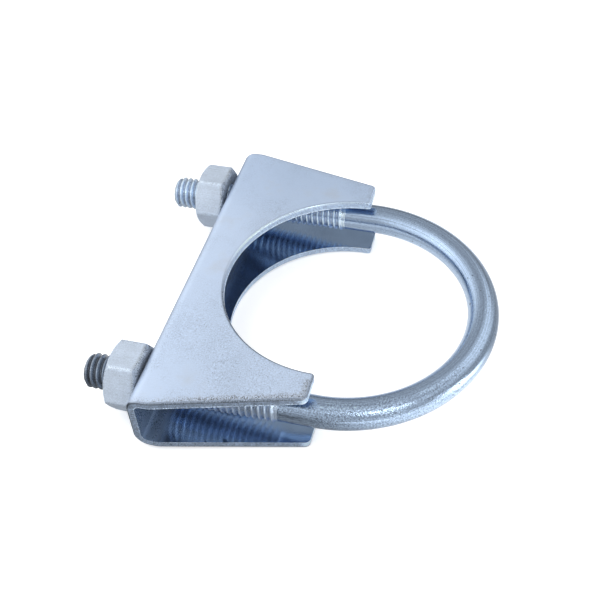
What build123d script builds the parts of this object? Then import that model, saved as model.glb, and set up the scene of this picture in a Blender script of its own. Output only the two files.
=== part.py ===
from build123d import *
import os
from math import cos, pi, radians, tan

# Saddle clamp for an exhaust pipe: one bent round rod with a thread on both legs,
# one folded sheet-steel saddle that the legs pass through, and two heavy hex nuts.
# Sizes are in millimetres. The pipe's axis is Z, the legs run along X with the ring
# of the bolt at +X and the nuts at -X, and the origin is the centre of the saddle's seat.

os.makedirs("parts", exist_ok=True)

# The pipe, and how loosely the saddle's seat and the bolt's ring go round it. The
# ring's centre stands a little out from the seat's, because the clamp isn't tightened.
pipe_diameter = 54.0
seat_clearance = 0.15
ring_clearance = 0.35
ring_centre = 1.0

# The bent rod. Its threads stand proud of the bare rod, because they are rolled, and
# the front leg is a little shorter than the back one.
rod_diameter = 7.0
thread_diameter = 7.9
bare_length = 7.65
front_thread_length = 43.8
back_thread_length = 45.4
thread_runout = 0.6
tip_chamfer = 0.9

# The folded saddle. The end margin is the sheet left between each leg hole and its end.
sheet = 1.85
saddle_height = 15.0
end_margin = 6.75
square_end = 5.07
bend_inside_radius = 1.5
flange_flare = 1.65
web_behind_seat = 9.4
horn_reach = 0.4
horn_width = 6.9
horn_corner_radius = 1.4
horn_point_radius = 0.7
shoulder_radius = 6.0
rolled_edge = 0.4
rolled_edge_angle = 45.0

# Where the legs pass through the web, and how loosely
leg_height = 0.5
hole_clearance = 0.45

# The hex nuts, each left a little way off the web
nut_across_flats = 14.3
nut_thickness = 7.5
nut_bore_clearance = 0.05
nut_chamfer_angle = 30.0
nut_chamfer_width = 0.45
nut_countersink = 0.35
front_nut_standoff = 0.1
back_nut_standoff = 0.8
front_nut_turn = 57.0
back_nut_turn = 54.0

# Sizes that follow from those above
rod_radius = rod_diameter / 2
thread_radius = thread_diameter / 2
pipe_radius = pipe_diameter / 2
seat_radius = pipe_radius + seat_clearance
bend_radius = pipe_radius + ring_clearance + rod_radius
thread_start = ring_centre - bare_length
web_outside = -(seat_radius + web_behind_seat)
hole_radius = thread_radius + hole_clearance
saddle_end = bend_radius + hole_radius + end_margin
flare_slope = tan(radians(flange_flare))
same_place = 0.001

# The bent rod: a bare half ring with a short straight at each end, then the threaded
# legs as plain sleeves at the crests of the thread, pointed at the tip and tapered
# down to the bare rod where the thread runs out
with BuildPart() as u_bolt:
    with BuildLine(Plane.XY.offset(leg_height)) as rod_line:
        front_bare = Line((thread_start, -bend_radius), (ring_centre, -bend_radius))
        ring = ThreePointArc(front_bare @ 1, (ring_centre + bend_radius, 0), (ring_centre, bend_radius))
        Line(ring @ 1, (thread_start, bend_radius))
    with BuildSketch(Plane(origin=(thread_start, -bend_radius, leg_height), z_dir=(1, 0, 0))):
        Circle(rod_radius)
    sweep(path=rod_line.wires()[0])

    for side, thread_length in ((-1, front_thread_length), (1, back_thread_length)):
        leg_origin = (thread_start, side * bend_radius, leg_height)
        with BuildSketch(Plane(origin=leg_origin, x_dir=(-1, 0, 0), z_dir=(0, 1, 0))):
            with BuildLine():
                Polyline(
                    (0, 0),
                    (0, rod_radius),
                    (thread_runout, thread_radius),
                    (thread_length - tip_chamfer, thread_radius),
                    (thread_length, thread_radius - tip_chamfer),
                    (thread_length, 0),
                    close=True,
                )
            make_face()
        revolve(axis=Axis(leg_origin, (1, 0, 0)))
u_bolt.part.label = "u_bolt"
export_step(u_bolt.part, "parts/u_bolt.step")

# The saddle's folded section, seen from the front: the web stands at -X and the two
# flanges run towards the ring, sprung open a little as folded sheet is
tip_x = horn_reach
tip_z = saddle_height / 2 + (tip_x - web_outside) * flare_slope
with BuildPart() as saddle:
    with BuildSketch(Plane.XZ):
        with BuildLine():
            outside = FilletPolyline(
                (tip_x + sheet, tip_z + sheet * flare_slope),
                (web_outside, saddle_height / 2),
                (web_outside, -saddle_height / 2),
                (tip_x + sheet, -tip_z - sheet * flare_slope),
                radius=bend_inside_radius + sheet,
            )
            offset(outside, amount=sheet, side=Side.LEFT)
        make_face()
    extrude(amount=saddle_end + sheet, both=True)

    # The blank's outline: square ends on the web, slanted sides, two horns and the seat
    tip_y = seat_radius + horn_width
    shoulder_x = web_outside + square_end
    with BuildSketch(Plane.XY) as outline:
        with BuildLine():
            Polyline(
                (web_outside - sheet, -saddle_end),
                (shoulder_x, -saddle_end),
                (tip_x, -tip_y),
                (tip_x, tip_y),
                (shoulder_x, saddle_end),
                (web_outside - sheet, saddle_end),
                close=True,
            )
        make_face()
        shoulders = outline.vertices().filter_by(lambda corner: abs(corner.X - shoulder_x) < same_place)
        fillet(shoulders, radius=shoulder_radius)
        horn_corners = outline.vertices().filter_by(lambda corner: abs(corner.X - tip_x) < same_place)
        fillet(horn_corners, radius=horn_corner_radius)
        Circle(seat_radius, mode=Mode.SUBTRACT)
        horn_points = outline.vertices().filter_by(lambda corner: abs(corner.X - tip_x) < same_place)
        horn_points = horn_points.filter_by(lambda corner: abs(corner.Y) < seat_radius + same_place)
        fillet(horn_points, radius=horn_point_radius)
    extrude(amount=saddle_height + tip_z, both=True, mode=Mode.INTERSECT)

    # The two leg holes in the web
    with BuildSketch(Plane.YZ.offset(web_outside + sheet / 2)):
        with Locations((-bend_radius, leg_height), (bend_radius, leg_height)):
            Circle(hole_radius)
    extrude(amount=sheet, both=True, mode=Mode.SUBTRACT)

    # The outside's edge, drawn down all round where the blank was punched out: first
    # along the seat's two arcs, each by a cone square to its flange, then along the rest
    for way in (1, -1):
        flange_normal = (-flare_slope, 0, way)
        seat_on_flange = (0, 0, way * (saddle_height / 2 - web_outside * flare_slope))
        with BuildSketch(Plane(origin=seat_on_flange, z_dir=flange_normal)):
            Circle(seat_radius + rolled_edge)
        extrude(amount=-sheet, taper=rolled_edge_angle, mode=Mode.SUBTRACT)
    bends = saddle.faces().filter_by(GeomType.CYLINDER).sort_by(Axis.X)[:2]
    web_face = saddle.faces().sort_by(Axis.X)[0]
    flange_faces = [saddle.faces().sort_by(Axis.Z)[0], saddle.faces().sort_by(Axis.Z)[-1]]
    outside_edges = [edge for face in [*bends, web_face, *flange_faces] for edge in face.outer_wire().edges()]
    rim = [edge for edge in outside_edges if sum(edge.is_same(other) for other in outside_edges) == 1]
    rim = [edge for edge in rim if edge.length < 2 * seat_radius]
    chamfer(rim, length=rolled_edge, angle=rolled_edge_angle)
saddle.part.label = "saddle"
export_step(saddle.part, "parts/saddle.step")

# The nuts: plain hexagons, chamfered and countersunk at both ends. The turn is the
# angle that one corner stands up from level as the nut was left on its leg.
corner_radius = nut_across_flats / 2 / cos(pi / 6)
face_radius = nut_across_flats / 2 - nut_chamfer_width
chamfer_rise = (corner_radius - face_radius) * tan(radians(nut_chamfer_angle))
nut_bore_radius = thread_radius + nut_bore_clearance
countersunk_radius = nut_bore_radius + nut_countersink
nuts = (
    ("front_nut", -bend_radius, front_nut_standoff, front_nut_turn),
    ("back_nut", bend_radius, back_nut_standoff, back_nut_turn),
)
for name, leg_y, standoff, turn in nuts:
    with BuildPart() as nut:
        nut_outside = (web_outside - standoff - nut_thickness, leg_y, leg_height)
        with BuildSketch(Plane(origin=nut_outside, x_dir=(0, 1, 0), z_dir=(1, 0, 0))):
            RegularPolygon(radius=corner_radius, side_count=6, rotation=turn)
        extrude(amount=nut_thickness)

        # One side of the nut's turned section, spun about the leg
        with BuildSketch(Plane(origin=nut_outside, x_dir=(1, 0, 0), z_dir=(0, -1, 0))):
            with BuildLine():
                Polyline(
                    (0, countersunk_radius),
                    (0, face_radius),
                    (chamfer_rise, corner_radius),
                    (nut_thickness - chamfer_rise, corner_radius),
                    (nut_thickness, face_radius),
                    (nut_thickness, countersunk_radius),
                    (nut_thickness - nut_countersink, nut_bore_radius),
                    (nut_countersink, nut_bore_radius),
                    close=True,
                )
            make_face()
        revolve(axis=Axis(nut_outside, (1, 0, 0)), mode=Mode.INTERSECT)
    nut.part.label = name
    export_step(nut.part, "parts/" + name + ".step")
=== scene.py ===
"""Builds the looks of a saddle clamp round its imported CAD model: a folded sheet saddle, a bent rod
with rolled threads and two hex nuts, all bright zinc, on a plain white stage."""

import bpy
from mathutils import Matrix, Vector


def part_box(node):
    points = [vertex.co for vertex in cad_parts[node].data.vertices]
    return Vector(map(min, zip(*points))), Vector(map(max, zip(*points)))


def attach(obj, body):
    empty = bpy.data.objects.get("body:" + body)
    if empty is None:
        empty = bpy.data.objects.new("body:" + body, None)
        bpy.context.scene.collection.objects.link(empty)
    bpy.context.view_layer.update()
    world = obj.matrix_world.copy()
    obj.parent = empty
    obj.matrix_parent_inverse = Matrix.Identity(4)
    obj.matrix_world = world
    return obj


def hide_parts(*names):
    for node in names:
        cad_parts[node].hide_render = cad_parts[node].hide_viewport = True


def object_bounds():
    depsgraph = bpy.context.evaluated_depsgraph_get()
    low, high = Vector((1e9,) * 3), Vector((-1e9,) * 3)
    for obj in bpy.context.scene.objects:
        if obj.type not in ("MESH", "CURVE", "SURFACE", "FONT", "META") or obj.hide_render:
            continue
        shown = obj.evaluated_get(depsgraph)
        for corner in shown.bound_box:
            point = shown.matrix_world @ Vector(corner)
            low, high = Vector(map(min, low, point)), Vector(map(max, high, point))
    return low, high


bl_info = {
    "name": "Saddle Clamp",
    "version": (1, 0, 0),
    "blender": (4, 5, 0),
    "location": "3D View > Sidebar > Clamp",
    "description": "Makes the saddle, the bent rod, its threads and the nuts of an exhaust clamp",
    "category": "Object",
}

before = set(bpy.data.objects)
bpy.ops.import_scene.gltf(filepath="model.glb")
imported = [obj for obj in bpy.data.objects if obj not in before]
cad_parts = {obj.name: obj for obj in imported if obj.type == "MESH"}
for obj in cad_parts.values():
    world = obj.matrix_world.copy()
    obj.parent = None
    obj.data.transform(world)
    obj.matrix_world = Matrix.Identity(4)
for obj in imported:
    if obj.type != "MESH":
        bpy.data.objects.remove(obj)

import math

import bmesh
import bpy
from bpy.props import FloatProperty, FloatVectorProperty, IntProperty, PointerProperty
from mathutils import Euler, Vector, noise
from mathutils.geometry import delaunay_2d_cdt
from mathutils.kdtree import KDTree

MM = 0.001
CAD_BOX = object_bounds()
SADDLE_LOW, SADDLE_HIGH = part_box("saddle")
BOLT_LOW, BOLT_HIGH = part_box("u_bolt")
NUT_BOXES = {"front_nut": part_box("front_nut"), "back_nut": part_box("back_nut")}


def number(name, text, default, **kind):
    """A number that a user may change."""
    return FloatProperty(name=name, description=text, default=default, **kind)


def length(name, text, default):
    """A size in metres that a user may change."""
    return number(name, text, default, unit="LENGTH", precision=5)


def angle(name, text, degrees):
    """An angle that a user may change."""
    return number(name, text, math.radians(degrees), subtype="ANGLE", unit="ROTATION")


def colour(name, text, default):
    """A colour that a user may change."""
    limits = {"size": 3, "min": 0, "max": 1}
    return FloatVectorProperty(name=name, description=text, default=default, subtype="COLOR", **limits)


class SaddleSizes(bpy.types.PropertyGroup):
    sheet: length("Sheet", "Thickness of the folded sheet", 1.85 * MM)
    web_x: length("Web", "Where the web's outside stands along the legs", SADDLE_LOW.x)
    half_height: length("Half height", "Half the height of the section at the web", 7.5 * MM)
    half_length: length("Half length", "From the middle of the saddle to its end", SADDLE_HIGH.y)
    bend: length("Bend", "Outside radius of the two bends", 3.35 * MM)
    flare: angle("Flare", "How far each flange is sprung open", 1.65)
    square_end: length("Square end", "From the web to where the sides start to slant", 5.07 * MM)
    horn_x: length("Horn", "Where the horns end along the legs", SADDLE_HIGH.x)
    horn_y: length("Horn corner", "From the middle of the saddle to a horn's outer corner", 34.05 * MM)
    seat_radius: length("Seat", "Radius of the arc that takes the pipe", 27.15 * MM)
    shoulder_round: length("Shoulder round", "Radius of the shoulders", 6.0 * MM)
    corner_round: length("Corner round", "Radius of the horns' outer corners", 1.4 * MM)
    point_round: length("Point round", "Radius of the horns' inner points", 0.7 * MM)
    hole_radius: length("Hole", "Radius of the leg holes", 4.4 * MM)
    hole_height: length("Hole height", "Height of the leg holes above the middle", 0.5 * MM)
    waviness: length("Waviness", "How far the pressed sheet is out of flat", 0.05 * MM)
    dome: length("Dome", "How far a flange's inside swells between its edges", 0.3 * MM)


class BoltSizes(bpy.types.PropertyGroup):
    rod_radius: length("Rod", "Radius of the bare rod", 3.49 * MM)
    bend_radius: length("Bend", "From the middle of the ring to that of the rod", BOLT_HIGH.y - 3.95 * MM)
    ring_x: length("Ring", "Where the ring's centre stands along the legs", 1.0 * MM)
    leg_z: length("Leg height", "Height of the rod's middle", 0.5 * MM)
    thread_x: length("Thread start", "Where the threads run out along the legs", -6.65 * MM)
    crest_radius: length("Crest", "Radius at the crests of the thread", 3.95 * MM)
    root_radius: length("Root", "Radius at the roots of the thread", 3.19 * MM)
    pitch: length("Pitch", "From one crest to the next", 1.411 * MM)
    front_tip_x: length("Front tip", "Where the front leg ends", -50.45 * MM)
    back_tip_x: length("Back tip", "Where the back leg ends", BOLT_LOW.x + 0.001 * MM)
    tip_radius: length("Tip", "Radius of a leg's flat end", 3.05 * MM)
    columns: IntProperty(name="Columns", description="Faces round the rod", default=72, min=12)


class NutSizes(bpy.types.PropertyGroup):
    across_flats: length("Across flats", "From one flat to the one opposite", 14.3 * MM)
    ridge_round: length("Ridge round", "Radius of the forged ridges", 0.55 * MM)
    chamfer_width: length("Chamfer width", "Width of the chamfer at the middle of a flat", 0.45 * MM)
    countersink: length("Countersink", "Depth of the countersink", 0.35 * MM)
    thread_gap: length("Thread gap", "How loosely the nut's thread sits on the leg's", 0.09 * MM)
    front_turn: angle("Front turn", "How far the front nut is turned on its leg", 57)
    back_turn: angle("Back turn", "How far the back nut is turned on its leg", 54)
    roughness: length("Roughness", "How uneven the forged faces are", 0.03 * MM)


class FinishColours(bpy.types.PropertyGroup):
    sheet: colour("Sheet", "Satin zinc on the outside of the saddle", (0.54, 0.645, 0.81))
    # This colour also paints the shade towards the back of the saddle's outside
    sheet_inside: colour("Sheet inside", "Mirror-bright zinc inside the channel", (0.31, 0.43, 0.62))
    cut_edge: colour("Cut edge", "Torn metal on the sheet's edges", (0.47, 0.59, 0.77))
    rod: colour("Rod", "Bright zinc on the drawn rod", (0.46, 0.59, 0.78))
    nut: colour("Nut", "Pale zinc on the nuts", (0.54, 0.62, 0.73))
    # This colour also paints the shade at the nuts' end by the web
    grime_and_shade: colour("Grime", "Oily dirt in pits and thread roots", (0.07, 0.08, 0.10))
    stain: colour("Stain", "Tan bloom on the zinc, and its speckle by the cut edges", (0.40, 0.38, 0.34))


class StageSettings(bpy.types.PropertyGroup):
    camera_place: FloatVectorProperty(
        name="Camera place", description="Where the camera stands", unit="LENGTH", size=3, precision=5,
        default=(37.387 * MM, -146.307 * MM, 161.724 * MM),
    )
    camera_turn: FloatVectorProperty(
        name="Camera turn", description="How the camera is turned", subtype="EULER", size=3,
        default=(math.radians(43.5148), math.radians(2.877), math.radians(15.1066)),
    )
    focal_length: number("Focal length", "Of a 36 mm wide sensor, in mm", 57.233)
    floor_z: length("Floor", "Height of the floor", CAD_BOX[0].z)
    floor: colour("Floor", "Colour of the floor and the backdrop", (0.86, 0.87, 0.88))
    key_light: number("Key light", "Power of the large lamp in watts", 0.075)
    fill_light: number("Fill light", "Power of the small lamp in watts", 0.25)
    soft_light: number("Soft light", "Strength of the light from all round", 1.1)
    room_level: number("Room", "How bright the studio's walls look in metal", 0.42)


GROUPS = {
    "clamp_saddle": SaddleSizes,
    "clamp_bolt": BoltSizes,
    "clamp_nuts": NutSizes,
    "clamp_finish": FinishColours,
    "clamp_stage": StageSettings,
}


class Wire:
    """A value or a colour in a node tree that takes plain arithmetic, so that a formula reads as one."""

    def __init__(self, socket):
        self.socket = socket
        self.tree = socket.id_data

    def math(self, operation, *others, clamp=False):
        node = add(self.tree, "ShaderNodeMath", {"operation": operation, "use_clamp": clamp})
        return fill(node, self, *others)

    def __add__(self, other):
        return self.math("ADD", other)

    def __sub__(self, other):
        return self.math("SUBTRACT", other)

    def __mul__(self, other):
        return self.math("MULTIPLY", other)

    def __truediv__(self, other):
        return self.math("DIVIDE", other)

    def least(self, other):
        return self.math("MINIMUM", other)

    def most(self, other):
        return self.math("MAXIMUM", other)

    def ramp(self, start, end, low=0.0, high=1.0, smooth=True):
        settings = {"interpolation_type": "SMOOTHSTEP" if smooth else "LINEAR"}
        return fill(add(self.tree, "ShaderNodeMapRange", settings), self, start, end, low, high)

    def mixed(self, share, other):
        """This colour with a share of another."""
        node = add(self.tree, "ShaderNodeMix", {"data_type": "RGBA", "clamp_factor": True})
        for slot, value in ((0, share), (6, self), (7, other)):
            feed(value, node.inputs[slot])
        return Wire(node.outputs[2])


def feed(value, socket):
    """Links a wire or a socket, or sets a plain value."""
    if isinstance(value, Wire):
        value = value.socket
    if isinstance(value, bpy.types.NodeSocket):
        socket.id_data.links.new(value, socket)
    elif socket.type == "RGBA":
        socket.default_value = (*value, 1.0)
    else:
        socket.default_value = value


def fill(node, *values):
    """Feeds a node's first inputs and gives its first output."""
    for slot, value in enumerate(values):
        feed(value, node.inputs[slot])
    return Wire(node.outputs[0])


def add(tree, kind, settings=None, **inputs):
    """Adds a node with its settings and inputs. An input's name has _ for a space."""
    node = tree.nodes.new(kind)
    for key, value in (settings or {}).items():
        setattr(node, key, value)
    for key, value in inputs.items():
        feed(value, node.inputs[key.replace("_", " ")])
    return node


def xyz(x, y, z):
    """Joins three values into a vector."""
    return fill(add(x.tree, "ShaderNodeCombineXYZ"), x, y, z)


def parts(place):
    """The three values of a vector."""
    return [Wire(socket) for socket in add(place.tree, "ShaderNodeSeparateXYZ", Vector=place).outputs]


def in_mm(place):
    """The three coordinates of a place, in millimetres."""
    return [part / MM for part in parts(place)]


def group_tree(name, kind, inputs, outputs):
    """An empty node group, with its inputs as wires. An input is given by its default or by its kind."""
    tree = bpy.data.node_groups.new(name, kind)
    for label, value in inputs.items():
        plain = isinstance(value, float)
        socket_type = "NodeSocketFloat" if plain else "NodeSocket" + value
        socket = tree.interface.new_socket(name=label, in_out="INPUT", socket_type=socket_type)
        if plain:
            socket.default_value = value
    for label, value in outputs.items():
        tree.interface.new_socket(name=label, in_out="OUTPUT", socket_type="NodeSocket" + value)
    given = tree.nodes.new("NodeGroupInput").outputs
    return tree, [Wire(given[label]) for label in inputs], tree.nodes.new("NodeGroupOutput").inputs


def piece_from(mesh, name, body, slot, *nodes):
    """Links a finished mesh as a piece that rides on a body and stands for CAD nodes."""
    piece = bpy.data.objects.new(name, mesh)
    bpy.context.scene.collection.objects.link(piece)
    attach(piece, body)
    if nodes:
        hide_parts(*nodes)
    return piece


def turn_outwards(mesh):
    """Turns a closed shell's faces outwards."""
    shell = bmesh.new()
    shell.from_mesh(mesh)
    if shell.calc_volume(signed=True) < 0:
        bmesh.ops.reverse_faces(shell, faces=shell.faces)
    shell.to_mesh(mesh)
    shell.free()


def smooth_mesh(name, vertices, faces, material, crease):
    """A mesh that shades smooth, apart from edges sharper than the crease angle."""
    mesh = bpy.data.meshes.new(name)
    mesh.from_pydata(vertices, [], faces)
    mesh.validate()
    turn_outwards(mesh)
    mesh.shade_smooth()
    mesh.set_sharp_from_angle(angle=crease)
    mesh.materials.append(material)
    return mesh


def store(mesh, name, values):
    """Keeps one number a vertex for the materials."""
    mesh.attributes.new(name, "FLOAT", "POINT").data.foreach_set("value", values)


# Materials


def pit_group():
    """Small sparse pits, as a mask."""
    inputs = {"Place": "Vector", "Size": 0.5 * MM, "Share": 0.1}
    tree, (place, size, share), result = group_tree("Zinc Pits", "ShaderNodeTree", inputs, {"Mask": "Float"})
    scale = size.math("POWER", -1.0)
    warp = add(tree, "ShaderNodeTexNoise", Vector=place, Scale=scale * 1.7, Detail=2.0)
    moved = add(tree, "ShaderNodeVectorMath", {"operation": "MULTIPLY_ADD"})
    moved = fill(moved, warp.outputs["Color"], xyz(*[size * 0.6] * 3), place)
    cells = add(tree, "ShaderNodeTexVoronoi", Vector=moved, Scale=scale).outputs
    chance = add(tree, "ShaderNodeSeparateColor", Color=cells["Color"]).outputs
    chosen = Wire(chance[0]).math("LESS_THAN", share)
    reach = Wire(chance[1]) * 0.25 + 0.12
    feed(Wire(cells["Distance"]).ramp(reach, reach * 0.4) * chosen, result["Mask"])


def clouds(tree, place, scale, detail, roughness):
    """Soft noise centred on nought."""
    cloud = add(tree, "ShaderNodeTexNoise", Vector=place, Scale=scale, Detail=detail, Roughness=roughness)
    return Wire(cloud.outputs[0]) - 0.5


def grain_group():
    """Fine grain over slow clouds, both centred on nought."""
    inputs = {"Place": "Vector", "Fine": 0.3 * MM, "Slow": 8 * MM}
    outputs = {"Fine": "Float", "Slow": "Float"}
    tree, (place, *sizes), result = group_tree("Zinc Grain", "ShaderNodeTree", inputs, outputs)
    for name, size, detail in zip(outputs, sizes, (3.0, 4.0)):
        feed(clouds(tree, place, size.math("POWER", -1.0), detail, 0.6), result[name])


def streak_group():
    """Long fine lines left by drawing the rod, along the first axis of the place."""
    inputs = {"Place": "Vector", "Width": 0.3 * MM, "Length": 12 * MM}
    outputs = {"Lines": "Float", "Bands": "Float"}
    tree, (place, *sizes), result = group_tree("Drawn Streaks", "ShaderNodeTree", inputs, outputs)
    across, along = (size.math("POWER", -1.0) for size in sizes)
    way, side, up = parts(place)
    for name, width in (("Lines", 1.0), ("Bands", 0.25)):
        side_share, up_share = side * across * width, up * across * width
        start = side_share * 1.7 + up_share * 2.3
        stretched = xyz(way * along * width + start, side_share, up_share)
        feed(clouds(tree, stretched, 1.0, 2.0, 0.5), result[name])


def lit(tint, amount):
    """A colour made lighter or darker by a factor."""
    return fill(add(amount.tree, "ShaderNodeVectorMath", {"operation": "SCALE"}, Scale=amount), tint)


def cleared(owner):
    """The emptied node tree of a material or a world."""
    owner.use_nodes = True
    owner.node_tree.nodes.clear()
    return owner.node_tree


def metal(name, metallic):
    """A new material's tree and its metal shader."""
    tree = cleared(bpy.data.materials.new(name))
    shader = add(tree, "ShaderNodeBsdfPrincipled", Metallic=metallic)
    feed(shader.outputs[0], tree.nodes.new("ShaderNodeOutputMaterial").inputs[0])
    return tree, shader


def coat(shader, tint, rough, relief):
    """Gives a metal its colour, its roughness and the relief of its skin."""
    bump = add(shader.id_data, "ShaderNodeBump", Strength=1.0, Distance=0.04 * MM, Height=relief)
    for name, value in (("Base Color", tint), ("Roughness", rough), ("Normal", bump.outputs[0])):
        feed(value, shader.inputs[name])


def attribute(tree, name, output="Fac"):
    return Wire(add(tree, "ShaderNodeAttribute", {"attribute_name": name}).outputs[output])


def object_place(tree):
    return Wire(add(tree, "ShaderNodeTexCoord").outputs["Object"])


def grouped(name, place, **inputs):
    """A shared node group's results at a place."""
    node = add(place.tree, "ShaderNodeGroup", {"node_tree": bpy.data.node_groups[name]})
    for key, value in {"Place": place, **inputs}.items():
        feed(value, node.inputs[key])
    return [Wire(socket) for socket in node.outputs]


def drawn_rod_material(colours, threaded):
    """Bright zinc over the lines of the drawn rod. A threaded leg also has dirt in its roots, a painted
    highlight on its crests, and is darker on the front leg.
    """
    name, metallic = ("Threaded Zinc", 0.75) if threaded else ("Drawn Zinc", 0.95)
    tree, shader = metal(name, metallic)
    place = attribute(tree, "rod_place", "Vector")
    lines, bands = grouped("Drawn Streaks", place, Width=0.45 * MM, Length=50 * MM)
    fine, slow = grouped("Zinc Grain", place, Fine=0.32 * MM, Slow=7 * MM)
    dirt_and_darkening = grouped("Zinc Pits", place, Size=0.9 * MM, Share=0.08)[0]
    way, side, _ = in_mm(place)
    coarse = way.ramp(66, 30) * side.ramp(-1.5, 1.5)
    coarse = (slow * 0.4 + coarse * 0.14 + bands * 0.2).ramp(0.03, 0.18)
    tint = lit(colours.rod, lines * 0.8 + bands * 0.7 + fine * (coarse * 2.0 + 0.9) + 0.97)
    rough = bands * 0.2 + coarse * 0.03 + 0.11
    relief = lines * 0.6 + fine * (coarse * 1.4 + 0.5) - dirt_and_darkening * 1.5
    if threaded:
        crest = attribute(tree, "crest")
        along, across, _ = in_mm(object_place(tree))
        bare = along.ramp(-30, -40)
        # The front leg is darker, most of all on its stub, and takes more of the dark colour there
        front_darkening = across.ramp(20, -20) * (bare * 0.55 + 0.2)
        # Painted highlight: the crests are lighter, less so on the front leg
        tint = lit(tint.mixed(0.6, colours.nut), front_darkening * -0.7 + crest * (front_darkening * -0.4 + 0.5) + 1.0)
        dirt_and_darkening = dirt_and_darkening.most(crest.ramp(0.55, 0.0) * (slow * 2.0 + front_darkening + 0.3) * (bare * 0.9 + 0.1))
        dirt_and_darkening = dirt_and_darkening.most(front_darkening * 0.45 + slow * 1.5 - 0.12)
        rough = rough + crest.ramp(0.5, 0.0) * bare * 0.15
    coat(shader, tint.mixed(dirt_and_darkening * 0.8, colours.grime_and_shade), rough.most(0.08), relief)


def sheet_material(colours):
    """The saddle's zinc: satin outside, torn along the cut edges and mirror-bright in the channel."""
    tree, shader = metal("Pressed Zinc", 0.95)
    place = object_place(tree)
    fine, slow = grouped("Zinc Grain", place, Fine=0.28 * MM, Slow=11 * MM)
    tear, blotch = grouped("Zinc Grain", place, Fine=0.26 * MM, Slow=1.2 * MM)
    pits = grouped("Zinc Pits", place, Size=0.42 * MM, Share=0.5)[0]
    x, y, z = in_mm(place)
    depth, gap = attribute(tree, "sheet_depth"), attribute(tree, "edge_gap") / MM

    # Where on the sheet it is: its sides, the punched edge between them and the bands beside that
    inside = depth.ramp(0.985, 1.0, smooth=False)
    outside = depth.ramp(0.012, 0.0, smooth=False)
    between = inside * -1.0 + 1.0
    off_seat = (x * x + y * y).math("SQRT").ramp(28.6, 30.0)
    web_inside = inside * x.ramp(-29, -33)
    rolled = depth.ramp(0.0, 0.03) * depth.ramp(0.30, 0.20)
    cut = (depth + tear * 0.25).ramp(0.26, 0.34) * between
    arris = depth.ramp(0.84, 0.96) * between
    near_edge = (gap + blotch * 1.6).ramp(2.1, 0.5) * outside * off_seat
    near_edge = near_edge * y.ramp(-12, -26, 0.15, 1.0) * x.ramp(-34, -18, 0.3, 1.0)
    coarse = (y.ramp(-4, -22) * x.ramp(-32, -16) * 0.18 - slow).ramp(-0.06, 0.16, 0.2, 1.3)

    # Painted light on the outside: lighter towards the web, painted shade along the bend, and on the
    # drawn-down edge a painted highlight by the back leg and painted shade by the front one
    painted_light = x.ramp(-20, -34) * 0.12 + 0.97
    painted_light = painted_light - x.ramp(-34.8, -36.2) * z.math("ABSOLUTE").ramp(4.6, 5.6) * 0.4
    painted_light = painted_light - rolled * y.ramp(12, -12, -0.5, 0.4)
    face = lit(colours.sheet, fine * coarse * 0.8 + slow * 0.35 + painted_light)
    # Painted shade: the outside darkens towards the back, by a share of the inside's colour
    face = face.mixed(y.ramp(8, 36) * 0.3, colours.sheet_inside)
    face = face.mixed(slow.ramp(0.04, 0.24) * 0.25, colours.stain)
    face = face.mixed(near_edge * (tear * 3.0 + 0.35), colours.stain)
    face = face.mixed((pits * coarse * 0.35).most(near_edge * (tear * 9.0 + 0.1)), colours.grime_and_shade)

    bright = lit(colours.sheet_inside, slow * 0.5 + fine * 0.2 - web_inside * 0.35 + 1.0)
    # The cut edge's tears and blotches, with a painted highlight along the arris, painted shade away from the
    # seat's arc and a painted highlight at the horns' tips
    torn_and_lit = tear * 3.0 + blotch * 0.9 + arris * (tear * 7.0 + 0.9) - off_seat * 0.5 + 1.45
    torn_and_lit = torn_and_lit + x.ramp(-2.0, -0.2) * off_seat * 1.2
    tint = face.mixed(cut, lit(colours.cut_edge, torn_and_lit * 0.8)).mixed(inside, bright)

    feed(outside * -0.5 - web_inside * 0.4 - cut * 0.35 + 0.95, shader.inputs["Metallic"])
    rough = fine * 0.12 + slow * 0.1 + 0.38
    rough = rough - cut * 0.08 - rolled * 0.10 - inside * 0.30 + web_inside * 0.2
    relief = fine * coarse * 1.6 - pits * coarse * outside * 1.8 + tear * cut * 5.0
    coat(shader, tint, rough.most(0.06), relief * (inside * -0.8 + 1.0) + slow * 1.2)


def nut_material(colours):
    """Pale satin zinc over a forged skin, with painted highlights on the ridges and painted shade at the
    web's end.
    """
    tree, shader = metal("Forged Zinc", 0.35)
    place = object_place(tree)
    ridge, bore, web_end = (attribute(tree, name) for name in ("ridge", "bore", "web_end"))
    fine, slow = grouped("Zinc Grain", place, Fine=0.26 * MM, Slow=3.5 * MM)
    lines = grouped("Drawn Streaks", place, Width=0.22 * MM, Length=4 * MM)[0]
    pits = grouped("Zinc Pits", place, Size=0.55 * MM, Share=0.35)[0]
    worn = (slow * 1.5 + fine).ramp(0.0, 0.25)
    # Painted highlight: the ridges are lighter
    shade = fine * 0.7 + slow * 0.3 + lines * 0.35 + ridge * (fine * 2.0 + 0.35) * 1.1 + 0.95
    # Pits get soil, the bore is darker, and the web's end gets painted shade where the nut meets the saddle
    dirt_and_darkening = pits * worn * 0.6 + bore * 0.45 + web_end * (fine * 5.0 + slow * 2.0 + 0.4)
    tint = lit(colours.nut, shade).mixed(dirt_and_darkening, colours.grime_and_shade)
    relief = fine * (ridge * 3.5 + 1.4) + slow * 1.5 + lines * 0.8 - pits
    coat(shader, tint, fine * 0.15 + slow * 0.12 - ridge * 0.12 + 0.42, relief)
    feed(ridge * 0.4 + 0.35, shader.inputs["Metallic"])


# The saddle


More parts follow.
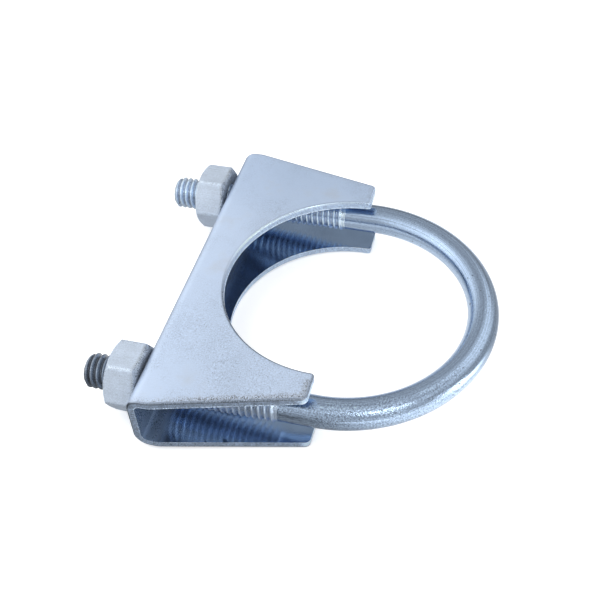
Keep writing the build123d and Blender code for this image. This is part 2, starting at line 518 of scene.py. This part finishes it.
def rounded_outline(corners, step):
    """Points along a chain of corners, each (x, y, radius), whose rounds are tangent arcs."""
    points = []
    for before, here, after in zip(corners[:-2], corners[1:-1], corners[2:]):
        corner = Vector(here[:2])
        to_before = (Vector(before[:2]) - corner).normalized()
        to_after = (Vector(after[:2]) - corner).normalized()
        half = to_before.angle(to_after) / 2
        reach = here[2] / math.tan(half)
        start, end = corner + to_before * reach, corner + to_after * reach
        centre = corner + (to_before + to_after).normalized() * (here[2] / math.sin(half))
        sweep = math.pi - 2 * half
        count = max(4, math.ceil(here[2] * sweep / step))
        first, last = start - centre, end - centre
        for k in range(count + 1):
            share = k / count
            spread = first.slerp(last, share) if sweep > 1e-6 else first
            points.append(centre + spread.normalized() * here[2])
    return points


def horn_chain(sizes, step):
    """One quarter of the saddle's plan, from its end to the middle of the seat, as (x, y)."""
    web, end, tip, seat = sizes.web_x, sizes.half_length, sizes.horn_x, sizes.seat_radius
    shoulder = (web + sizes.square_end, end, sizes.shoulder_round)
    corner = (tip, sizes.horn_y, sizes.corner_round)
    chain = rounded_outline([(web, end, 0), shoulder, corner, (tip, seat, 0)], step * 0.5)

    # The horn's point: a small round between the tip's line and the seat's arc
    small = sizes.point_round
    round_x = tip - small
    round_y = math.sqrt((seat + small) ** 2 - round_x ** 2)
    on_seat = math.atan2(round_y, round_x)
    count = 6
    for k in range(count + 1):
        turn = k / count * (-math.pi + on_seat)
        chain.append(Vector((round_x + small * math.cos(turn), round_y + small * math.sin(turn))))
    arc = math.pi - on_seat
    count = math.ceil(seat * arc / step)
    for k in range(1, count + 1):
        turn = on_seat + arc * k / count
        chain.append(Vector((seat * math.cos(turn), seat * math.sin(turn))))
    return chain


def spaced(points, step):
    """The same closed line with its long runs divided."""
    result = []
    for here, after in zip(points, points[1:] + points[:1]):
        count = max(1, round((after - here).length / step))
        result += [here.lerp(after, k / count) for k in range(count)]
    return result


class Blank:
    """The flat blank that the saddle is folded from. Its own coordinates are the way round the
    section, from the middle of the web, and the place across the saddle."""

    def __init__(self, sizes):
        self.sizes = sizes
        fold = math.pi / 2 - sizes.flare
        self.web_half = sizes.half_height - sizes.bend * math.tan(fold / 2)
        self.bend_end = self.web_half + sizes.bend * fold
        self.fold = fold
        self.flange_x = sizes.web_x + sizes.bend * (1 - math.cos(fold))

    def way_of(self, x):
        """How far round the section a place on the flange is."""
        return self.bend_end + (x - self.flange_x) / math.cos(self.sizes.flare)

    def folded(self, way, across, depth):
        """Where a point of the blank is once folded, at a depth below the outside."""
        sizes = self.sizes
        side = 1 if way >= 0 else -1
        way = abs(way)
        turn = min(max(way - self.web_half, 0) / sizes.bend, self.fold)
        x = sizes.web_x + sizes.bend - (sizes.bend - depth) * math.cos(turn)
        z = min(way, self.web_half) + (sizes.bend - depth) * math.sin(turn)
        beyond = max(way - self.bend_end, 0)
        x += beyond * math.cos(sizes.flare)
        z += beyond * math.sin(sizes.flare)
        return Vector((x, across, side * z))

    def outline(self, step):
        """The closed outline of the blank."""
        quarter = [Vector((self.way_of(p.x), p.y)) for p in horn_chain(self.sizes, step)]
        mirrored = [Vector((p.x, -p.y)) for p in reversed(quarter[:-1])]
        half = quarter + mirrored
        other = [Vector((-p.x, p.y)) for p in reversed(half)]
        return spaced(half + other, step)

    def holes(self, step):
        """The closed outlines of the two leg holes."""
        sizes, bolt = self.sizes, bpy.context.scene.clamp_bolt
        count = math.ceil(2 * math.pi * sizes.hole_radius / step)
        loops = []
        for side in (-1, 1):
            middle = Vector((sizes.hole_height, side * bolt.bend_radius))
            turns = [2 * math.pi * k / count for k in range(count)]
            loops.append([middle + sizes.hole_radius * Vector((math.cos(t), math.sin(t))) for t in turns])
        return loops


# How the punched edge runs in from the cut, and how deep it is, as shares of the sheet: first
# the edge drawn down by the punch, then the sheared band, the torn band and the burr.
PUNCHED_EDGE = (
    (0.34, 0.000), (0.25, 0.006), (0.17, 0.022), (0.105, 0.052), (0.055, 0.100),
    (0.020, 0.165), (0.004, 0.235), (0.000, 0.300), (0.000, 0.430), (0.012, 0.500),
    (0.030, 0.600), (0.038, 0.720), (0.036, 0.850), (0.026, 0.950), (0.018, 1.000),
)
SHEARED_TO = 0.43


def inset(loop, inwards, amount):
    return [point + normal * amount for point, normal in zip(loop, inwards)]


def inward_normals(loop, keep_left):
    """The normals of a closed line that point into the sheet."""
    result = []
    for before, after in zip(loop[-1:] + loop[:-1], loop[1:] + loop[:1]):
        along = (after - before).normalized()
        left = Vector((-along.y, along.x))
        result.append(left if keep_left else -left)
    return result


def signed_area(loop):
    return sum(a.x * b.y - b.x * a.y for a, b in zip(loop, loop[1:] + loop[:1])) / 2


def inside_loop(point, loop):
    hit = False
    for a, b in zip(loop, loop[1:] + loop[:1]):
        if (a.y > point[1]) != (b.y > point[1]):
            if point[0] < (b.x - a.x) * (point[1] - a.y) / (b.y - a.y) + a.x:
                hit = not hit
    return hit


def on_sheet(point, loops):
    """Whether a point is inside the outline and outside the holes."""
    return inside_loop(point, loops[0]) and not any(inside_loop(point, hole) for hole in loops[1:])


def filled(loops, inner_points):
    """Triangles between the outline and the holes, over the inner points."""
    points, edges = [], []
    for loop in loops:
        first = len(points)
        points += loop
        edges += [(first + k, first + (k + 1) % len(loop)) for k in range(len(loop))]
    rim_count = len(points)
    made, _, faces, origin, _, _ = delaunay_2d_cdt(points + inner_points, edges, [], 0, 1e-9)
    middles = [sum((made[i] for i in face), Vector((0, 0))) / len(face) for face in faces]
    kept = [face for face, middle in zip(faces, middles) if on_sheet(middle, loops)]
    new_of = {}
    for new, sources in enumerate(origin):
        for source in sources:
            new_of[source] = new
    return made, kept, [new_of[k] for k in range(rim_count)]


def saddle_mesh(sizes, material):
    """Punches, folds and skins the saddle."""
    blank = Blank(sizes)
    rim_step, face_step, bend_rows = 0.3 * MM, 1.15 * MM, 14
    loops = [blank.outline(rim_step)] + blank.holes(rim_step)
    inwards = [inward_normals(loop, (signed_area(loop) > 0) == (k == 0)) for k, loop in enumerate(loops)]

    # Rows across the bends stand closer than those on the flats
    ways = [k * face_step for k in range(int(blank.web_half / face_step) + 1)]
    ways += [blank.web_half + sizes.bend * blank.fold * k / bend_rows for k in range(bend_rows + 1)]
    reach = blank.way_of(sizes.horn_x)
    count = int((reach - blank.bend_end) / face_step)
    ways += [blank.bend_end + (reach - blank.bend_end) * k / count for k in range(1, count)]
    ways = sorted(set([-way for way in ways] + ways))
    rows = int(sizes.half_length / face_step)
    acrosses = [sizes.half_length * k / rows for k in range(-rows, rows + 1)]

    vertices, faces, depths, gaps = [], [], [], []
    rim = [point for loop in loops for point in loop]
    rim_tree = KDTree(len(rim))
    for number, point in enumerate(rim):
        rim_tree.insert((point.x, point.y, 0), number)
    rim_tree.balance()

    def waved(way, across, depth, gap):
        """A folded point, moved square to the sheet by as much as the pressing left it out of flat."""
        point = blank.folded(way, across, depth)
        swell = noise.noise(Vector((way, across, 3.1 * MM)) * 70)
        swell += 0.4 * noise.noise(Vector((way, across, 0)) * 210)
        push = swell * sizes.waviness * min(1.0, gap / (4 * MM))
        if depth == sizes.sheet:
            middle = min(1.0, gap / (6.75 * MM))
            past_bend = max(0.0, abs(way) - blank.bend_end)
            push -= sizes.dome * middle * (2 - middle) * min(1.0, past_bend / (6 * MM))
        below = blank.folded(way, across, depth + sizes.sheet)
        return point + (below - point).normalized() * push

    def skin(first_inset, depth):
        """One side of the sheet. Gives the numbers of the vertices along each loop."""
        edge = [inset(loop, normals, first_inset) for loop, normals in zip(loops, inwards)]
        clear = first_inset + 0.35 * face_step
        inner = []
        for way in ways:
            for across in acrosses:
                point = Vector((way, across))
                if rim_tree.find((way, across, 0))[2] > clear and on_sheet(point, loops):
                    inner.append(point)
        made, triangles, on_rim = filled(edge, inner)
        first = len(vertices)
        for point in made:
            gap = rim_tree.find((point.x, point.y, 0))[2]
            vertices.append(waved(point.x, point.y, depth, gap))
            depths.append(depth / sizes.sheet)
            gaps.append(gap)
        order = 1 if depth == 0 else -1
        faces.extend([tuple(first + i for i in face)[::order] for face in triangles])
        numbers, place = [], 0
        for loop in loops:
            numbers.append([first + on_rim[place + k] for k in range(len(loop))])
            place += len(loop)
        return numbers

    outer = skin(PUNCHED_EDGE[0][0] * sizes.sheet, 0.0)
    inner = skin(PUNCHED_EDGE[-1][0] * sizes.sheet, sizes.sheet)
    for loop, normals, outer_rim, inner_rim in zip(loops, inwards, outer, inner):
        rims = [outer_rim]
        for run_in, depth in PUNCHED_EDGE[1:-1]:
            torn = max(0.0, depth - SHEARED_TO)
            row = []
            for point, normal in zip(loop, normals):
                seed = Vector((point.x, point.y, depth * sizes.sheet))
                rag = noise.noise(seed * 1900) * 0.05 * torn + noise.noise(seed * 420) * 0.05 * torn
                place = point + normal * ((run_in + max(rag, -run_in)) * sizes.sheet)
                row.append(len(vertices))
                vertices.append(waved(place.x, place.y, depth * sizes.sheet, run_in * sizes.sheet))
                depths.append(depth)
                gaps.append(0.0)
            rims.append(row)
        rims.append(inner_rim)
        for upper, lower in zip(rims, rims[1:]):
            for k in range(len(loop)):
                after = (k + 1) % len(loop)
                faces.append((upper[k], lower[k], lower[after], upper[after]))

    mesh = smooth_mesh("folded_saddle", vertices, faces, material, math.radians(50))
    store(mesh, "sheet_depth", depths)
    store(mesh, "edge_gap", gaps)
    return mesh


# The bent rod and its threads


def tube_tree(name, sizes):
    """An empty geometry group for a tube, with its sizes as float inputs."""
    inputs = {**dict.fromkeys(sizes, 0.0), "Rows": "Int", "Columns": "Int", "Material": "Material"}
    return group_tree(name, "GeometryNodeTree", inputs, {"Tube": "Geometry"})


def unrolled_tube(tree, rows, columns):
    """A grid whose rows run along a tube and whose last column meets the first."""
    counts = {"Vertices_X": rows, "Vertices_Y": columns + 1.0}
    grid = add(tree, "GeometryNodeMeshGrid", Size_X=1.0, Size_Y=1.0, **counts)
    x, y, _ = parts(Wire(add(tree, "GeometryNodeInputPosition").outputs[0]))
    row = ((x + 0.5) * (rows - 1.0)).math("ROUND")
    column = ((y + 0.5) * columns).math("ROUND")
    return grid.outputs[0], row, column / columns * (2 * math.pi)


def finish_tube(tree, grid, place, attributes, material, result):
    """Stores the attributes, moves the grid into place, closes it and gives it its material."""
    steps = [
        ("StoreNamedAttribute", {"data_type": kind, "domain": "POINT"}, {"Name": name, "Value": value})
        for name, kind, value in attributes
    ]
    steps += [
        ("SetPosition", {}, {"Position": place}),
        ("MergeByDistance", {}, {"Distance": 0.002 * MM}),
        ("SetShadeSmooth", {}, {}),
        ("RealizeInstances", {}, {}),
        ("SetMaterial", {}, {"Material": material}),
    ]
    for kind, settings, inputs in steps:
        grid = add(tree, "GeometryNode" + kind, settings, Geometry=grid, **inputs).outputs[0]
    feed(grid, result[0])


def clamped(value):
    """A value kept between nought and one."""
    return value.math("ADD", 0.0, clamp=True)


def along_rod_tree():
    """A tree that bends a tube into half a ring with two straight ends."""
    sizes = ("Rod Radius", "Bend Radius", "Ring X", "Thread X", "Leg Z", "Hidden End")
    tree, given, result = tube_tree("Bent Rod", sizes)
    radius, bend, ring_x, start_x, leg_z, hidden, rows, columns, material = given
    grid, row, turn = unrolled_tube(tree, rows, columns)

    straight = ring_x - start_x
    whole = straight * 2.0 + bend * math.pi + hidden * 2.0
    way = clamped((row - 1.0) / (rows - 3.0)) * whole - hidden
    round_turn = ((way - straight) / bend).most(0.0).least(math.pi)
    past = (way - straight - bend * math.pi).most(0.0)
    out_x = round_turn.math("SINE")
    out_y = round_turn.math("COSINE") * -1.0
    middle_x = start_x + way.least(straight) + bend * out_x - past
    reach = radius * row.least(rows - 1.0 - row).least(1.0)
    side, up = turn.math("COSINE") * reach, turn.math("SINE") * reach
    place = xyz(middle_x + out_x * side, (bend + side) * out_y, leg_z + up)
    attributes = [("rod_place", "FLOAT_VECTOR", xyz(way, side, up))]
    finish_tube(tree, grid, place, attributes, material, result)
    return tree


# A thread's rows in one turn, the turns rolled past each end, and where its flank starts and ends
# on the way from the middle of a crest to the middle of a root
ROWS_A_PITCH = 12
SPARE_TURNS = 2
FLANK_START, FLANK_END = 0.10, 0.86


def thread_tree():
    """A tree that rolls a right-hand thread round a leg, from its tip to where it runs out."""
    sizes = (
        "Tip X", "Thread X", "Leg Y", "Leg Z", "Pitch", "Crest Radius", "Root Radius", "Rod Radius",
        "Tip Radius", "Run-Out", "Along Start", "Along Sense",
    )
    tree, (*given, rows, columns, material), result = tube_tree("Rolled Thread", sizes)
    tip_x, out_x, leg_y, leg_z, pitch, crest, root, rod, tip, runout, start, sense = given
    grid, row, turn = unrolled_tube(tree, rows, columns)

    # The rows follow the helix, so that the crests stay even
    free_x = (row / ROWS_A_PITCH + turn / (2 * math.pi) - SPARE_TURNS) * pitch + tip_x
    from_crest = ((row / ROWS_A_PITCH).math("FRACT") - 0.5).math("ABSOLUTE") * -2.0 + 1.0
    height = from_crest.ramp(FLANK_START, FLANK_END, 1.0, 0.0, smooth=False)
    height = height * 0.55 + height.ramp(0.0, 1.0) * 0.45
    thread = root + (crest - root) * height

    # It runs out into the bare rod, the crest sooner than the root, and stays a hair outside it
    left = out_x - free_x
    proud = (thread - rod).most(0.0) * left.ramp(0.0, runout * 0.45)
    sunk = (thread - rod).least(0.0) * left.ramp(0.0, runout)
    body = rod + proud + sunk + 0.008 * MM

    # It is chamfered at the tip and closed by a flat disc at both ends
    lap = 0.4 * MM
    lead = tip + (free_x - tip_x).most(0.0)
    before_tip = clamped((tip_x - free_x) / (pitch * 0.9) * -1.0 + 1.0)
    after_end = clamped((free_x - out_x - lap) / (pitch * 0.9) * -1.0 + 1.0)
    reach = body.least(lead) * before_tip * after_end
    x = free_x.most(tip_x).least(out_x + lap)
    side, up = turn.math("COSINE") * reach, turn.math("SINE") * reach
    along = start + sense * (x - out_x)
    on_disc = (tip_x - free_x).ramp(-0.4 * MM, 0.0)
    attributes = [
        ("rod_place", "FLOAT_VECTOR", xyz(along, side * sense * -1.0, up)),
        ("crest", "FLOAT", height.most(left.ramp(runout, runout * 0.3)).most(on_disc)),
    ]
    finish_tube(tree, grid, xyz(x, leg_y + side, leg_z + up), attributes, material, result)
    return tree


def grown(tree, name, sizes, values):
    """Runs a geometry tree once and gives its result as a plain mesh. An input that the values leave
    out takes the size of the same name."""
    seed = bpy.data.objects.new(name + "_seed", bpy.data.meshes.new(name + "_seed"))
    bpy.context.scene.collection.objects.link(seed)
    modifier = seed.modifiers.new("Grow", "NODES")
    modifier.node_group = tree
    for item in tree.interface.items_tree:
        if item.in_out == "INPUT":
            own_name = item.name.lower().replace(" ", "_")
            modifier[item.identifier] = values[item.name] if item.name in values else getattr(sizes, own_name)
    bpy.context.view_layer.update()
    depsgraph = bpy.context.evaluated_depsgraph_get()
    mesh = bpy.data.meshes.new_from_object(seed.evaluated_get(depsgraph), depsgraph=depsgraph)
    bare = seed.data
    seed.modifiers.remove(modifier)
    bpy.data.objects.remove(seed)
    bpy.data.meshes.remove(bare)
    mesh.name = name
    turn_outwards(mesh)
    return mesh


# The nuts


def hex_radius(turn, flat, ridge_round):
    """How far out the side of a hexagon with rounded ridges is, at an angle from a corner."""
    sixth = math.pi / 3
    off_corner = abs((turn + sixth / 2) % sixth - sixth / 2)
    centre = (flat - ridge_round) / math.cos(sixth / 2)
    tangent = math.atan2(ridge_round * 0.5, centre + ridge_round * math.cos(sixth / 2))
    if off_corner < tangent:
        reach = ridge_round ** 2 - (centre * math.sin(off_corner)) ** 2
        return centre * math.cos(off_corner) + math.sqrt(reach)
    return flat / math.cos(sixth / 2 - off_corner)


def rounded_run(corners, radius, steps):
    """Points along an open line of (out, along) corners with each inner corner rounded."""
    points = [Vector(corners[0])]
    for before, here, after in zip(corners[:-2], corners[1:-1], corners[2:]):
        here = Vector(here)
        to_before, to_after = Vector(before) - here, Vector(after) - here
        cut = min(radius, 0.45 * to_before.length, 0.45 * to_after.length)
        start, end = here + to_before.normalized() * cut, here + to_after.normalized() * cut
        for k in range(steps + 1):
            share = k / steps
            points.append(start.lerp(here, share).lerp(here.lerp(end, share), share))
    points.append(Vector(corners[-1]))
    return points


NUT_COLUMNS, NUT_SIDE_ROWS = 144, 10
NUT_CHAMFER_SLOPE = math.tan(math.radians(30))


def nut_mesh(name, box, side_y, turn, tip_x, sizes, bolt):
    """A hex nut with rounded ridges, chamfered ends and a thread that meshes with its leg's."""
    low_x, thickness = box[0].x, box[1].x - box[0].x
    flat = sizes.across_flats / 2
    face = flat - sizes.chamfer_width
    bore = bolt.crest_radius + 0.05 * MM
    sunk = sizes.countersink
    mouth = [(bore + 0.1 * MM, 0.6 * sunk), (bore + sunk, 0), (face, 0)]
    sixth = math.pi / 3
    rows_inside = int((thickness - 2 * sunk) / (bolt.pitch / ROWS_A_PITCH))
    vertices, ridges, bores, web_ends = [], [], [], []
    for column in range(NUT_COLUMNS):
        # The closed line of one column, from the near end's countersink over the side and back inside
        around = 2 * math.pi * column / NUT_COLUMNS
        out = hex_radius(around - turn, flat, sizes.ridge_round)
        rise = (out - face) * NUT_CHAMFER_SLOPE
        near = rounded_run([*mouth, (out, rise), (out, thickness / 2)], 0.16 * MM, 3)[:-1]
        far = [Vector((p.x, thickness - p.y)) for p in reversed(near)]
        sides = [near[-1].lerp(far[0], k / NUT_SIDE_ROWS) for k in range(1, NUT_SIDE_ROWS)]
        inside = []
        for row in range(rows_inside + 1):
            along = thickness - sunk - (thickness - 2 * sunk) * row / rows_inside
            turns = (low_x + along - tip_x) / bolt.pitch - around / (2 * math.pi)
            from_crest = 1 - 2 * abs(turns % 1.0 - 0.5)
            height = min(1.0, max(0.0, (FLANK_END - from_crest) / (FLANK_END - FLANK_START)))
            reach = bolt.root_radius + (bolt.crest_radius - bolt.root_radius) * height + sizes.thread_gap
            cut = min(1.0, min(along - sunk, thickness - sunk - along) / (0.5 * bolt.pitch))
            inside.append(Vector((reach * cut + (bore + 0.05 * MM) * (1 - cut), along)))
        line = near + sides + far + inside

        # Its place in space, with forging marks, and what the material needs to know of it
        side_start, side_end = len(near), len(near) + len(sides)
        off_ridge = abs((around - turn + sixth / 2) % sixth - sixth / 2)
        ridge_close = max(0.0, 1 - off_ridge / math.radians(4))
        for k, point in enumerate(line):
            place = Vector((low_x + point.y, point.x * math.cos(around), point.x * math.sin(around)))
            on_side = side_start - 5 <= k < side_end + 5
            if point.x > bore + sunk:
                uneven = noise.noise(place * 330 + Vector((side_y * 900, 0, 0)))
                uneven += 0.5 * noise.noise(place * 1300) * (0.6 if side_start < k < side_end else 1.8)
                spoke = Vector((0, place.y, place.z)).normalized()
                place = place + spoke * uneven * sizes.roughness * (1 if on_side else 0.3)
            vertices.append(place + Vector((0, side_y, bolt.leg_z)))
            on_chamfer_edge = k in (side_start - 3, side_start - 2, side_end + 1, side_end + 2)
            ridges.append(1.0 if on_chamfer_edge else ridge_close if on_side else 0.0)
            bores.append(1.0 if point.x < bore + 0.12 * MM else 0.0)
            web_ends.append(min(1.0, max(0.0, (point.y - thickness + 1.1 * MM) / (0.6 * MM))))
    faces = []
    rows = len(line)
    for column in range(NUT_COLUMNS):
        here, after = column * rows, (column + 1) % NUT_COLUMNS * rows
        for k in range(rows):
            further = (k + 1) % rows
            faces.append((here + k, here + further, after + further, after + k))
    mesh = smooth_mesh(name, vertices, faces, bpy.data.materials["Forged Zinc"], math.radians(75))
    for label, values in (("ridge", ridges), ("bore", bores), ("web_end", web_ends)):
        store(mesh, label, values)
    return mesh


# Operators


class CLAMP_OT_finishes(bpy.types.Operator):
    """Make the zinc finishes that the pieces share"""

    bl_idname = "clamp.finishes"
    bl_label = "Finishes"

    def execute(self, context):
        for build in (pit_group, grain_group, streak_group):
            build()
        colours = context.scene.clamp_finish
        drawn_rod_material(colours, threaded=False)
        drawn_rod_material(colours, threaded=True)
        sheet_material(colours)
        nut_material(colours)
        return {"FINISHED"}


class CLAMP_OT_saddle(bpy.types.Operator):
    """Punch and fold the sheet saddle"""

    bl_idname = "clamp.saddle"
    bl_label = "Folded Saddle"

    def execute(self, context):
        mesh = saddle_mesh(context.scene.clamp_saddle, bpy.data.materials["Pressed Zinc"])
        piece_from(mesh, "folded_saddle", "saddle", "zinc_sheet", "saddle")
        return {"FINISHED"}


class CLAMP_OT_rod(bpy.types.Operator):
    """Bend the bare part of the rod round the pipe"""

    bl_idname = "clamp.rod"
    bl_label = "Bent Rod"

    def execute(self, context):
        sizes = context.scene.clamp_bolt
        values = {"Hidden End": 0.2 * MM, "Rows": 180, "Material": bpy.data.materials["Drawn Zinc"]}
        mesh = grown(along_rod_tree(), "bent_rod", sizes, values)
        piece_from(mesh, "bent_rod", "bolt", "zinc_rod", "u_bolt")
        return {"FINISHED"}


class CLAMP_OT_threads(bpy.types.Operator):
    """Roll the threads on both legs"""

    bl_idname = "clamp.threads"
    bl_label = "Rolled Threads"

    def execute(self, context):
        sizes = context.scene.clamp_bolt
        tree = thread_tree()
        bare = 2 * (sizes.ring_x - sizes.thread_x) + math.pi * sizes.bend_radius
        legs = (("front_thread", -1, sizes.front_tip_x), ("back_thread", 1, sizes.back_tip_x))
        for name, side, tip_x in legs:
            turns = math.ceil((sizes.thread_x - tip_x) / sizes.pitch) + 2 * SPARE_TURNS
            values = {
                "Tip X": tip_x, "Leg Y": side * sizes.bend_radius, "Run-Out": 1.6 * MM,
                "Along Start": 0.0 if side < 0 else bare, "Along Sense": float(-side),
                "Rows": turns * ROWS_A_PITCH + 1, "Material": bpy.data.materials["Threaded Zinc"],
            }
            mesh = grown(tree, name, sizes, values)
            piece_from(mesh, name, "bolt", "zinc_rod")
        return {"FINISHED"}


class CLAMP_OT_nuts(bpy.types.Operator):
    """Forge the two hex nuts"""

    bl_idname = "clamp.nuts"
    bl_label = "Hex Nuts"

    def execute(self, context):
        sizes, bolt = context.scene.clamp_nuts, context.scene.clamp_bolt
        for node, side, turn, tip_x in (
            ("front_nut", -1, sizes.front_turn, bolt.front_tip_x),
            ("back_nut", 1, sizes.back_turn, bolt.back_tip_x),
        ):
            name, side_y = "forged_" + node, side * bolt.bend_radius
            mesh = nut_mesh(name, NUT_BOXES[node], side_y, turn, tip_x, sizes, bolt)
            piece_from(mesh, name, node, "zinc_nut", node)
        return {"FINISHED"}


class CLAMP_OT_stage(bpy.types.Operator):
    """Set up the white floor, the soft light and the camera"""

    bl_idname = "clamp.stage"
    bl_label = "Stage"

    def execute(self, context):
        scene, stage = context.scene, context.scene.clamp_stage
        build_floor(scene, stage)
        build_world(scene, stage)
        soft_lamp(scene, "key_lamp", direction(-162, 56) * 0.17, 0.12, stage.key_light)
        soft_lamp(scene, "fill_lamp", direction(-8, 30) * 0.55, 0.30, stage.fill_light)
        eye = bpy.data.cameras.new("camera")
        eye.sensor_width = 36
        eye.lens = stage.focal_length
        eye.clip_start = 0.01
        camera = bpy.data.objects.new("camera", eye)
        camera.location = stage.camera_place
        camera.rotation_euler = Euler(stage.camera_turn)
        scene.collection.objects.link(camera)
        scene.camera = camera
        scene.view_settings.view_transform = "Standard"
        return {"FINISHED"}


def rays(tree):
    """1 for the camera's rays, and 1 for those in metal or glass."""
    path = tree.nodes.new("ShaderNodeLightPath").outputs
    return Wire(path["Is Camera Ray"]), Wire(path["Is Glossy Ray"]).most(path["Is Transmission Ray"])


def blended(share, first, second):
    """Two shaders mixed by a share."""
    return fill(add(share.tree, "ShaderNodeMixShader"), share, first.outputs[0], second.outputs[0])


def direction(azimuth, elevation):
    """A unit vector. Azimuth is in degrees from +X towards +Y, elevation from the floor."""
    level = math.cos(math.radians(elevation))
    turn = math.radians(azimuth)
    return Vector((level * math.cos(turn), level * math.sin(turn), math.sin(math.radians(elevation))))


# The studio's walls and windows as bright metal shows them: azimuth, elevation, the angle of the
# full light, the angle where it is gone, strength
WINDOWS = (
    (-165, -5, 15, 80, 0.50), (170, 22, 15, 45, 0.35), (-145, 45, 12, 42, 0.40), (97, 5, 6, 18, -0.20),
    (-15, 40, 15, 80, 0.20), (50, 40, 6, 30, 0.55), (-5, 2, 5, 9, 4.50), (-33, 33, 5, 10, 0.40),
    (-51, 47, 5, 9, 5.00), (-44, 62, 4, 9, 2.00),
)


def window(tree, azimuth, elevation, core, rim, strength):
    """The light of a soft window, full within its core's angle and gone past its rim's."""
    facing = add(tree, "ShaderNodeVectorMath", {"operation": "DOT_PRODUCT"})
    fill(facing, add(tree, "ShaderNodeTexCoord").outputs["Generated"], tuple(direction(azimuth, elevation)))
    full, gone = math.cos(math.radians(core)), math.cos(math.radians(rim))
    return Wire(facing.outputs["Value"]).ramp(gone, full) * strength


def build_world(scene, stage):
    """White for the camera. Metal and glass show it too, softly shaded as a studio is."""
    scene.world = bpy.data.worlds.new("studio")
    tree = cleared(scene.world)
    seen, in_metal = rays(tree)
    room = window(tree, *WINDOWS[0]) + stage.room_level
    for soft_window in WINDOWS[1:]:
        room = room + window(tree, *soft_window)
    light = add(tree, "ShaderNodeBackground", Color=(0.97, 0.98, 1), Strength=stage.soft_light)
    backdrop = add(tree, "ShaderNodeBackground", Color=(1, 1, 1), Strength=seen.most(room * in_metal))
    output = tree.nodes.new("ShaderNodeOutputWorld")
    feed(blended(seen.most(in_metal), light, backdrop), output.inputs[0])


# How metal shows the floor shaded: from and to in x, from and to in y, both in mm, and how much
FLOOR_SHADES = (
    (24, 32, -2, -10, 0.4), (30, 50, -6, 8, -0.5), (28, 2, -22, -34, -0.6), (12, -4, 0, 16, -0.35),
    (8, -8, -34, -42, -0.15),
)


def build_floor(scene, stage):
    """A wide pale floor that keeps the clamp's shadow. Metal shows it shaded by what stands round it."""
    half, z = 3.0, stage.floor_z
    mesh = bpy.data.meshes.new("floor")
    corners = [(-half, -half, z), (half, -half, z), (half, half, z), (-half, half, z)]
    mesh.from_pydata(corners, [], [(0, 1, 2, 3)])
    material = bpy.data.materials.new("Pale Floor")
    tree = cleared(material)
    seen, in_metal = rays(tree)
    x, y, _ = in_mm(object_place(tree))
    shaded = x.ramp(45, 75) * y.ramp(14, -4) * y.ramp(-45, -15) * 2.0 + 0.95
    for x_from, x_to, y_from, y_to, amount in FLOOR_SHADES:
        shaded = shaded + x.ramp(x_from, x_to) * y.ramp(y_from, y_to) * amount
    shaded = (shaded - x.ramp(-25, -50) * 0.2).most(0.2)
    card = add(tree, "ShaderNodeBsdfDiffuse", Color=stage.floor)
    glow = add(tree, "ShaderNodeEmission", Color=(1, 1, 1), Strength=seen * 0.4)
    both = add(tree, "ShaderNodeAddShader")
    fill(both, card.outputs[0], glow.outputs[0])
    mirrored = add(tree, "ShaderNodeEmission", Color=(1, 1, 1), Strength=shaded)
    feed(blended(in_metal, both, mirrored), tree.nodes.new("ShaderNodeOutputMaterial").inputs[0])
    mesh.materials.append(material)
    floor = bpy.data.objects.new("floor", mesh)
    scene.collection.objects.link(floor)


def soft_lamp(scene, name, place, size, power):
    """A square soft lamp that faces the clamp."""
    lamp = bpy.data.lights.new(name, "AREA")
    lamp.size = size
    lamp.energy = power
    stand = bpy.data.objects.new(name, lamp)
    stand.location = place
    stand.visible_glossy = False
    stand.rotation_euler = (-place).to_track_quat("-Z", "Y").to_euler()
    scene.collection.objects.link(stand)


class CLAMP_PT_build(bpy.types.Panel):
    """Lists what the clamp is made of"""

    bl_idname = "CLAMP_PT_build"
    bl_label = "Saddle Clamp"
    bl_space_type = "VIEW_3D"
    bl_region_type = "UI"
    bl_category = "Clamp"

    def draw(self, context):
        for group in GROUPS:
            box = self.layout.box()
            settings = getattr(context.scene, group)
            for key in settings.__annotations__:
                box.prop(settings, key)
        for operator in OPERATORS:
            self.layout.operator(operator.bl_idname)


OPERATORS = (
    CLAMP_OT_stage,
    CLAMP_OT_finishes,
    CLAMP_OT_saddle,
    CLAMP_OT_rod,
    CLAMP_OT_threads,
    CLAMP_OT_nuts,
)


def register():
    for group in GROUPS.values():
        bpy.utils.register_class(group)
    for name, group in GROUPS.items():
        setattr(bpy.types.Scene, name, PointerProperty(type=group))
    for operator in OPERATORS:
        bpy.utils.register_class(operator)
    bpy.utils.register_class(CLAMP_PT_build)


def unregister():
    bpy.utils.unregister_class(CLAMP_PT_build)
    for operator in reversed(OPERATORS):
        bpy.utils.unregister_class(operator)
    for name in GROUPS:
        delattr(bpy.types.Scene, name)
    for group in reversed(GROUPS.values()):
        bpy.utils.unregister_class(group)


def main():
    register()
    bpy.ops.clamp.stage()
    bpy.ops.clamp.finishes()
    bpy.ops.clamp.saddle()
    bpy.ops.clamp.rod()
    bpy.ops.clamp.threads()
    bpy.ops.clamp.nuts()


if __name__ == "__main__":
    main()
